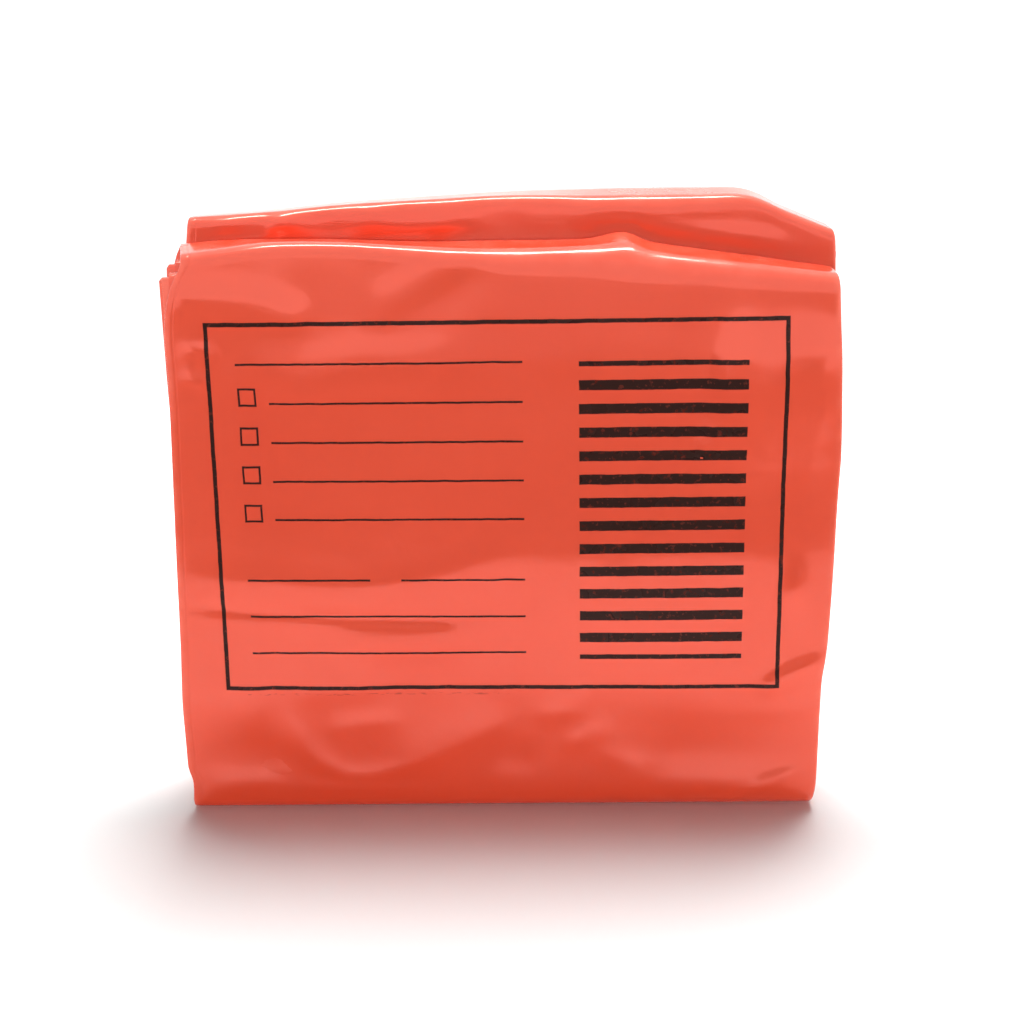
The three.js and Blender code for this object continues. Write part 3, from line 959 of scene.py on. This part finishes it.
def beyond(tree, at, low, high):
    """How far a place lies beyond a span in one direction, below nothing within it."""
    off_middle = tree.math("ABSOLUTE", tree.math("SUBTRACT", at, (low + high) / 2))
    return tree.math("SUBTRACT", off_middle, (high - low) / 2)


def rectangle(tree, x, z, left, right, low, high):
    """How far a place lies outside a rectangle, below nothing inside it."""
    return tree.math("MAXIMUM", beyond(tree, x, left, right), beyond(tree, z, low, high))


def filled(tree, distance, reach=0.0):
    """Ink within a reach of a shape, with a soft edge."""
    return tree.ramp(distance, reach - INK_EDGE, reach + INK_EDGE, 1, 0)


def outline(tree, distance, line):
    """A ruled line along the edge of a shape."""
    return filled(tree, tree.math("ABSOLUTE", distance), line / 2)


def printed(tree, place):
    """How much ink lies at each place of the face."""
    apart = tree.apart(place)
    shaken = tree.math("MULTIPLY", tree.math("SUBTRACT", tree.noise(place, 240), 0.5), INK_SHAKE)
    x, z = (tree.math("ADD", tree.math("MULTIPLY", apart[axis], 1 / MM), shaken) for axis in (0, 2))
    shapes = [outline(tree, rectangle(tree, x, z, *FRAME), FRAME_LINE)]
    for left, right, at in RULES:
        rule = rectangle(tree, x, z, left, right, at - RULE_LINE / 2, at + RULE_LINE / 2)
        shapes.append(filled(tree, rule))
    for middle_x, middle_z in TICK_BOXES:
        left = middle_x - TICK_BOX / 2
        low = middle_z - TICK_BOX / 2
        box = rectangle(tree, x, z, left, left + TICK_BOX, low, low + TICK_BOX)
        shapes.append(outline(tree, box, RULE_LINE))
    block = filled(tree, rectangle(tree, x, z, *STRIPES))
    beat = tree.math("PINGPONG", tree.math("SUBTRACT", z, STRIPES[2]), STRIPE_PITCH / 2)
    shapes.append(tree.math("MULTIPLY", block, filled(tree, beat, STRIPE_LINE / 2)))
    ink = shapes[0]
    for shape in shapes[1:]:
        ink = tree.math("MAXIMUM", ink, shape)
    worn_off = tree.ramp(tree.noise(place, 900, 3), 0.30, 0.44)
    ink = tree.math("MULTIPLY", ink, tree.math("MULTIPLY_ADD", worn_off, 0.10, 0.89))
    smear = filled(tree, rectangle(tree, x, z, *SMEAR))
    broken = tree.ramp(tree.noise(tree.stretched(place, (1, 1, 6)), 420, 2), 0.5, 0.62)
    smear = tree.math("MULTIPLY", tree.math("MULTIPLY", smear, broken), SMEAR_TONE)
    ink = tree.math("MAXIMUM", ink, smear)
    return tree.math("MULTIPLY", ink, tree.ramp(tree.attribute("front"), 0.4, 0.6))


def film_material():
    """Satin coated film: a slow unevenness of tone, paler worn folds, a pressed seam and dark print."""
    material, tree = new_material("satin_film")
    place = tree.add("ShaderNodeTexCoord").outputs["Object"]
    slow = tree.ramp(tree.noise(place, 22, 3, 0.45, 0.6), 0.32, 0.68)
    colour = tree.mix(slow, FILM_DEEP, FILM_BRIGHT)
    colour = tree.mix(0.45, colour, FILM_MIDDLE)
    fold = tree.math("MULTIPLY", tree.attribute("worn"), tree.ramp(tree.noise(place, 130, 4), 0.3, 0.75))
    colour = tree.mix(tree.math("MULTIPLY", fold, WORN_TONE), colour, FILM_WORN)
    seam_at = tree.math("MULTIPLY_ADD", tree.noise(place, 30, 1), 0.0012, 0.0016)
    seam_off = tree.math("ABSOLUTE", tree.math("SUBTRACT", tree.attribute("from_left"), seam_at))
    seam = tree.ramp(seam_off, 0.00012, 0.00042, 1, 0)
    colour = tree.mix(tree.math("MULTIPLY", seam, SEAM_TONE), colour, FILM_DEEP)
    ink = printed(tree, place)
    colour = tree.mix(ink, colour, INK)

    gloss = tree.ramp(tree.noise(place, 70, 4, 0.55), 0.3, 0.7, *GLOSS)
    gloss = tree.math("MULTIPLY_ADD", fold, WORN_GLOSS, gloss)
    gloss = tree.math("MULTIPLY_ADD", ink, INK_GLOSS, gloss)

    relief = tree.noise(place, 95, 3, 0.5, 0.4)
    relief = tree.math("MULTIPLY_ADD", tree.noise(place, 420, 1), FINE_BUMPS, relief)
    relief = tree.math("MULTIPLY_ADD", seam, SEAM_DEPTH, relief)
    bump = tree.add("ShaderNodeBump")
    tree.set_all(bump, {"Strength": BUMP_STRENGTH, "Distance": BUMP_DEPTH, "Height": relief})

    bare = tree.math("SUBTRACT", 1, tree.math("MULTIPLY", ink, INK_HIDES))
    shader = tree.add("ShaderNodeBsdfPrincipled")
    tree.set_all(shader, {
        "Base Color": colour,
        "Roughness": gloss,
        "Normal": bump.outputs["Normal"],
        "Metallic": METALLIC,
        "Specular IOR Level": tree.math("MULTIPLY", bare, SHEEN),
        "Coat Weight": tree.math("MULTIPLY", bare, COAT),
        "Coat Roughness": COAT_GLOSS,
    })
    tree.shade(shader)
    return material


# The floor and the backdrop that it curves up into, in metres
FLOOR_FRONT = -3.0
FLOOR_HALF = 3.5
CURVE_FROM = 1.2
CURVE_RADIUS = 0.8
CURVE_STEPS = 12
BACKDROP_TOP = 4.0
FLOOR_GLOW = 0.75

# The two dark cards lie on the floor before and behind the pack
CARD_NEAR = 270
CARD_FAR = 750
CARD_HALF = 450  # half their width
CARD_RAISED = 1  # how far they lie above the floor
CARD_TOP = 190  # top of the upright part at the front card's far edge
CARD_TONE = 0.38  # how bright they read

# The room's glow, and the soft lamps: name, place, target, size, power, and whether the film mirrors the
# lamp or else is lit by it. Lengths are in metres.
ROOM_GLOW = 1.35
FOOT = (0, 0.02, 0)
MIDDLE = (0, 0, 0.08)
LAMPS = (
    ("overhead", (0.05, 0.20, 0.80), FOOT, (0.45, 0.35), 10.4, False),
    ("glint", (-0.05, 0.10, 0.80), FOOT, (0.55, 0.05), 3.2, True),
    ("front", (0, -1.6, 0.13), MIDDLE, (1.2, 0.2), 17.6, False),
    ("left_side", (-1.6, 0.1, 0.13), MIDDLE, (1.2, 0.2), 8.0, False),
    ("right_side", (1.6, 0.1, 0.13), MIDDLE, (1.2, 0.2), 8.0, False),
)

# The camera, with the place, the turns and the lens worked out for the photograph
CAMERA_PLACE = (14.05, -350.41, 165.47)
CAMERA_PITCH = 13.747
CAMERA_YAW = 1.921
CAMERA_ROLL = -0.900
CAMERA_LENS = 47.46
CAMERA_SENSOR = 36
CAMERA_NEAR = 0.01


def floor_material():
    """A pale floor that glows softly behind the pack and far from it, to fade into a white backdrop."""
    material, tree = new_material("pale_floor")
    x, y, _ = tree.apart(tree.add("ShaderNodeTexCoord").outputs["Object"])
    far_off = tree.math("MULTIPLY_ADD", x, x, tree.math("MULTIPLY", y, y))
    far_off = tree.ramp(far_off, 0.5, 1.5, 0, FLOOR_GLOW)
    shader = tree.add("ShaderNodeBsdfPrincipled")
    tree.set_all(shader, {
        "Base Color": FLOOR,
        "Roughness": 0.7,
        "Specular IOR Level": 0.1,
        "Emission Color": WHITE,
        "Emission Strength": tree.math("MAXIMUM", tree.ramp(y, 0.1, 0.7, 0, FLOOR_GLOW), far_off),
    })
    tree.shade(shader)
    return material


def card_material(name):
    """An even dull glow."""
    material, tree = new_material(name)
    glow = tree.add("ShaderNodeEmission")
    tree.set_all(glow, {"Color": WHITE, "Strength": CARD_TONE})
    tree.shade(glow)
    return material


def swept(name, profile, half_width, material):
    """A stage piece: a line of y and z places in metres, swept across the width."""
    points = [(x, y, z) for y, z in profile for x in (-half_width, half_width)]
    faces = [(2 * i, 2 * i + 1, 2 * i + 3, 2 * i + 2) for i in range(len(profile) - 1)]
    mesh = bpy.data.meshes.new(name)
    mesh.from_pydata(points, [], faces)
    mesh.materials.append(material)
    piece = add_object(name, mesh)
    return piece


def make_floor():
    """A pale floor that curves up into a backdrop."""
    profile = [(FLOOR_FRONT, 0.0), (CURVE_FROM, 0.0)]
    for step in range(1, CURVE_STEPS + 1):
        angle = math.pi / 2 * step / CURVE_STEPS
        along = CURVE_FROM + CURVE_RADIUS * math.sin(angle)
        profile.append((along, CURVE_RADIUS - CURVE_RADIUS * math.cos(angle)))
    profile.append((CURVE_FROM + CURVE_RADIUS, BACKDROP_TOP))
    swept("floor", profile, FLOOR_HALF, floor_material()).data.shade_smooth()


def dark_card(name, profile):
    """A dark card that only the film's sheen sees, drawn by its profile of y and z places."""
    profile = [(y * MM, z * MM) for y, z in profile]
    card = swept(name, profile, CARD_HALF * MM, card_material(name))
    card.visible_camera = False
    card.visible_diffuse = False
    card.visible_shadow = False


def make_camera():
    """The camera of the photograph."""
    data = bpy.data.cameras.new("camera")
    data.lens = CAMERA_LENS
    data.sensor_width = CAMERA_SENSOR
    data.clip_start = CAMERA_NEAR
    camera = add_object("camera", data)
    turn = Matrix.Rotation(math.radians(CAMERA_YAW), 4, "Z")
    tilt = Matrix.Rotation(math.radians(90 - CAMERA_PITCH), 4, "X")
    roll = Matrix.Rotation(math.radians(CAMERA_ROLL), 4, "Z")
    camera.matrix_world = Matrix.Translation(Vector(CAMERA_PLACE) * MM) @ turn @ tilt @ roll
    bpy.context.scene.camera = camera


def softbox(name, place, target, size, power, mirrored):
    """An area light: either lights the film without being mirrored in it, or is only mirrored."""
    data = bpy.data.lights.new(name, "AREA")
    data.shape = "RECTANGLE"
    data.size, data.size_y = size
    data.energy = power
    light = add_object(name, data)
    light.location = place
    light.rotation_euler = (Vector(target) - Vector(place)).to_track_quat("-Z", "Y").to_euler()
    light.visible_glossy = mirrored
    light.visible_diffuse = not mirrored


def make_light():
    """A white room that only the film's sheen sees, and the soft lamps."""
    world = bpy.data.worlds.new("studio")
    world.use_nodes = True
    background = world.node_tree.nodes["Background"]
    background.inputs["Color"].default_value = WHITE
    background.inputs["Strength"].default_value = ROOM_GLOW
    world.cycles_visibility.diffuse = False
    bpy.context.scene.world = world
    for lamp in LAMPS:
        softbox(*lamp)
    bpy.context.scene.view_settings.view_transform = "Standard"
    bpy.context.scene.view_settings.look = "None"


film, flat = make_film()
film.data.materials.append(film_material())
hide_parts("folded_blanket")
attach(film, "root")
make_floor()
dark_card("front_card", [(-CARD_NEAR, CARD_RAISED), (-CARD_FAR, CARD_RAISED), (-CARD_FAR, CARD_TOP)])
dark_card("back_card", [(CARD_NEAR, CARD_RAISED), (CARD_FAR, CARD_RAISED)])
make_light()
make_camera()
bpy.context.view_layer.update()
